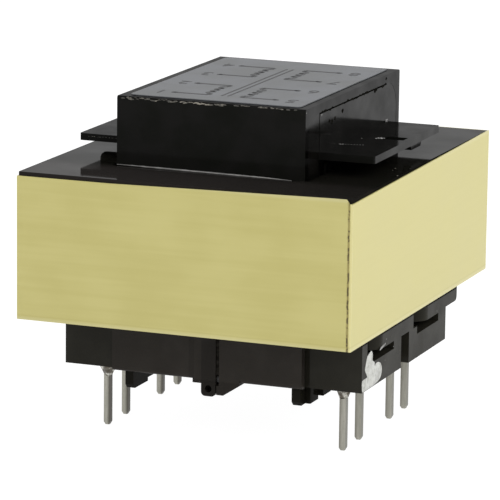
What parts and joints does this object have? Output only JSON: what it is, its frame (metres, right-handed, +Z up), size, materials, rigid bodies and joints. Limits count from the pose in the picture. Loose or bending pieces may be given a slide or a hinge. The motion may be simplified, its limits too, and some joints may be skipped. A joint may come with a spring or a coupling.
{
  "type": "pcb transformer",
  "caption": "Board-mounted mains transformer with a taped flat-laid E-I core, split bobbin with pinned terminal rails, coil covers and square pins",
  "frame": {"origin": "centre of the pin pattern on the face of the board, level with the undersides of the bobbin's feet", "axes": "+X along the coil's axis, from the primary row of pins to the secondary row; +Y along the rows of pins; +Z up, away from the board"},
  "size_m": [0.048, 0.0576, 0.0479],
  "materials": {
    "core_steel": "black varnish over silicon steel, glossy",
    "yellow_tape": "polyester film tape, semi-gloss",
    "bobbin_plastic": "black glass-filled nylon, satin",
    "cover_plastic": "black nylon, satin, varnish-dipped",
    "shroud_plastic": "black nylon, satin",
    "enamelled_copper": "enamelled copper wire",
    "coil_tape": "polyester film tape",
    "label_film": "printed film, satin, bare",
    "tinned_pin": "tinned square wire",
    "solder": "bright solder"
  },
  "bodies": {
    "root": {"e_laminations": "core_steel", "i_laminations": "core_steel", "core_tape": "yellow_tape", "bobbin": "bobbin_plastic", "coil_cover": "cover_plastic", "primary_shroud": "shroud_plastic", "secondary_shroud": "shroud_plastic", "primary_winding": "enamelled_copper", "secondary_winding": "enamelled_copper", "primary_tape": "coil_tape", "secondary_tape": "coil_tape", "rating_label": "label_film", "pin_1": "tinned_pin", "lead_1": "enamelled_copper", "solder_1": "solder", "pin_2": "tinned_pin", "lead_2": "enamelled_copper", "solder_2": "solder", "pin_3": "tinned_pin", "lead_3": "enamelled_copper", "solder_3": "solder", "pin_4": "tinned_pin", "lead_4": "enamelled_copper", "solder_4": "solder", "pin_5": "tinned_pin", "lead_5": "enamelled_copper", "solder_5": "solder", "pin_6": "tinned_pin", "lead_6": "enamelled_copper", "solder_6": "solder", "pin_7": "tinned_pin", "lead_7": "enamelled_copper", "solder_7": "solder", "pin_8": "tinned_pin", "lead_8": "enamelled_copper", "solder_8": "solder"}
  },
  "joints": []
}
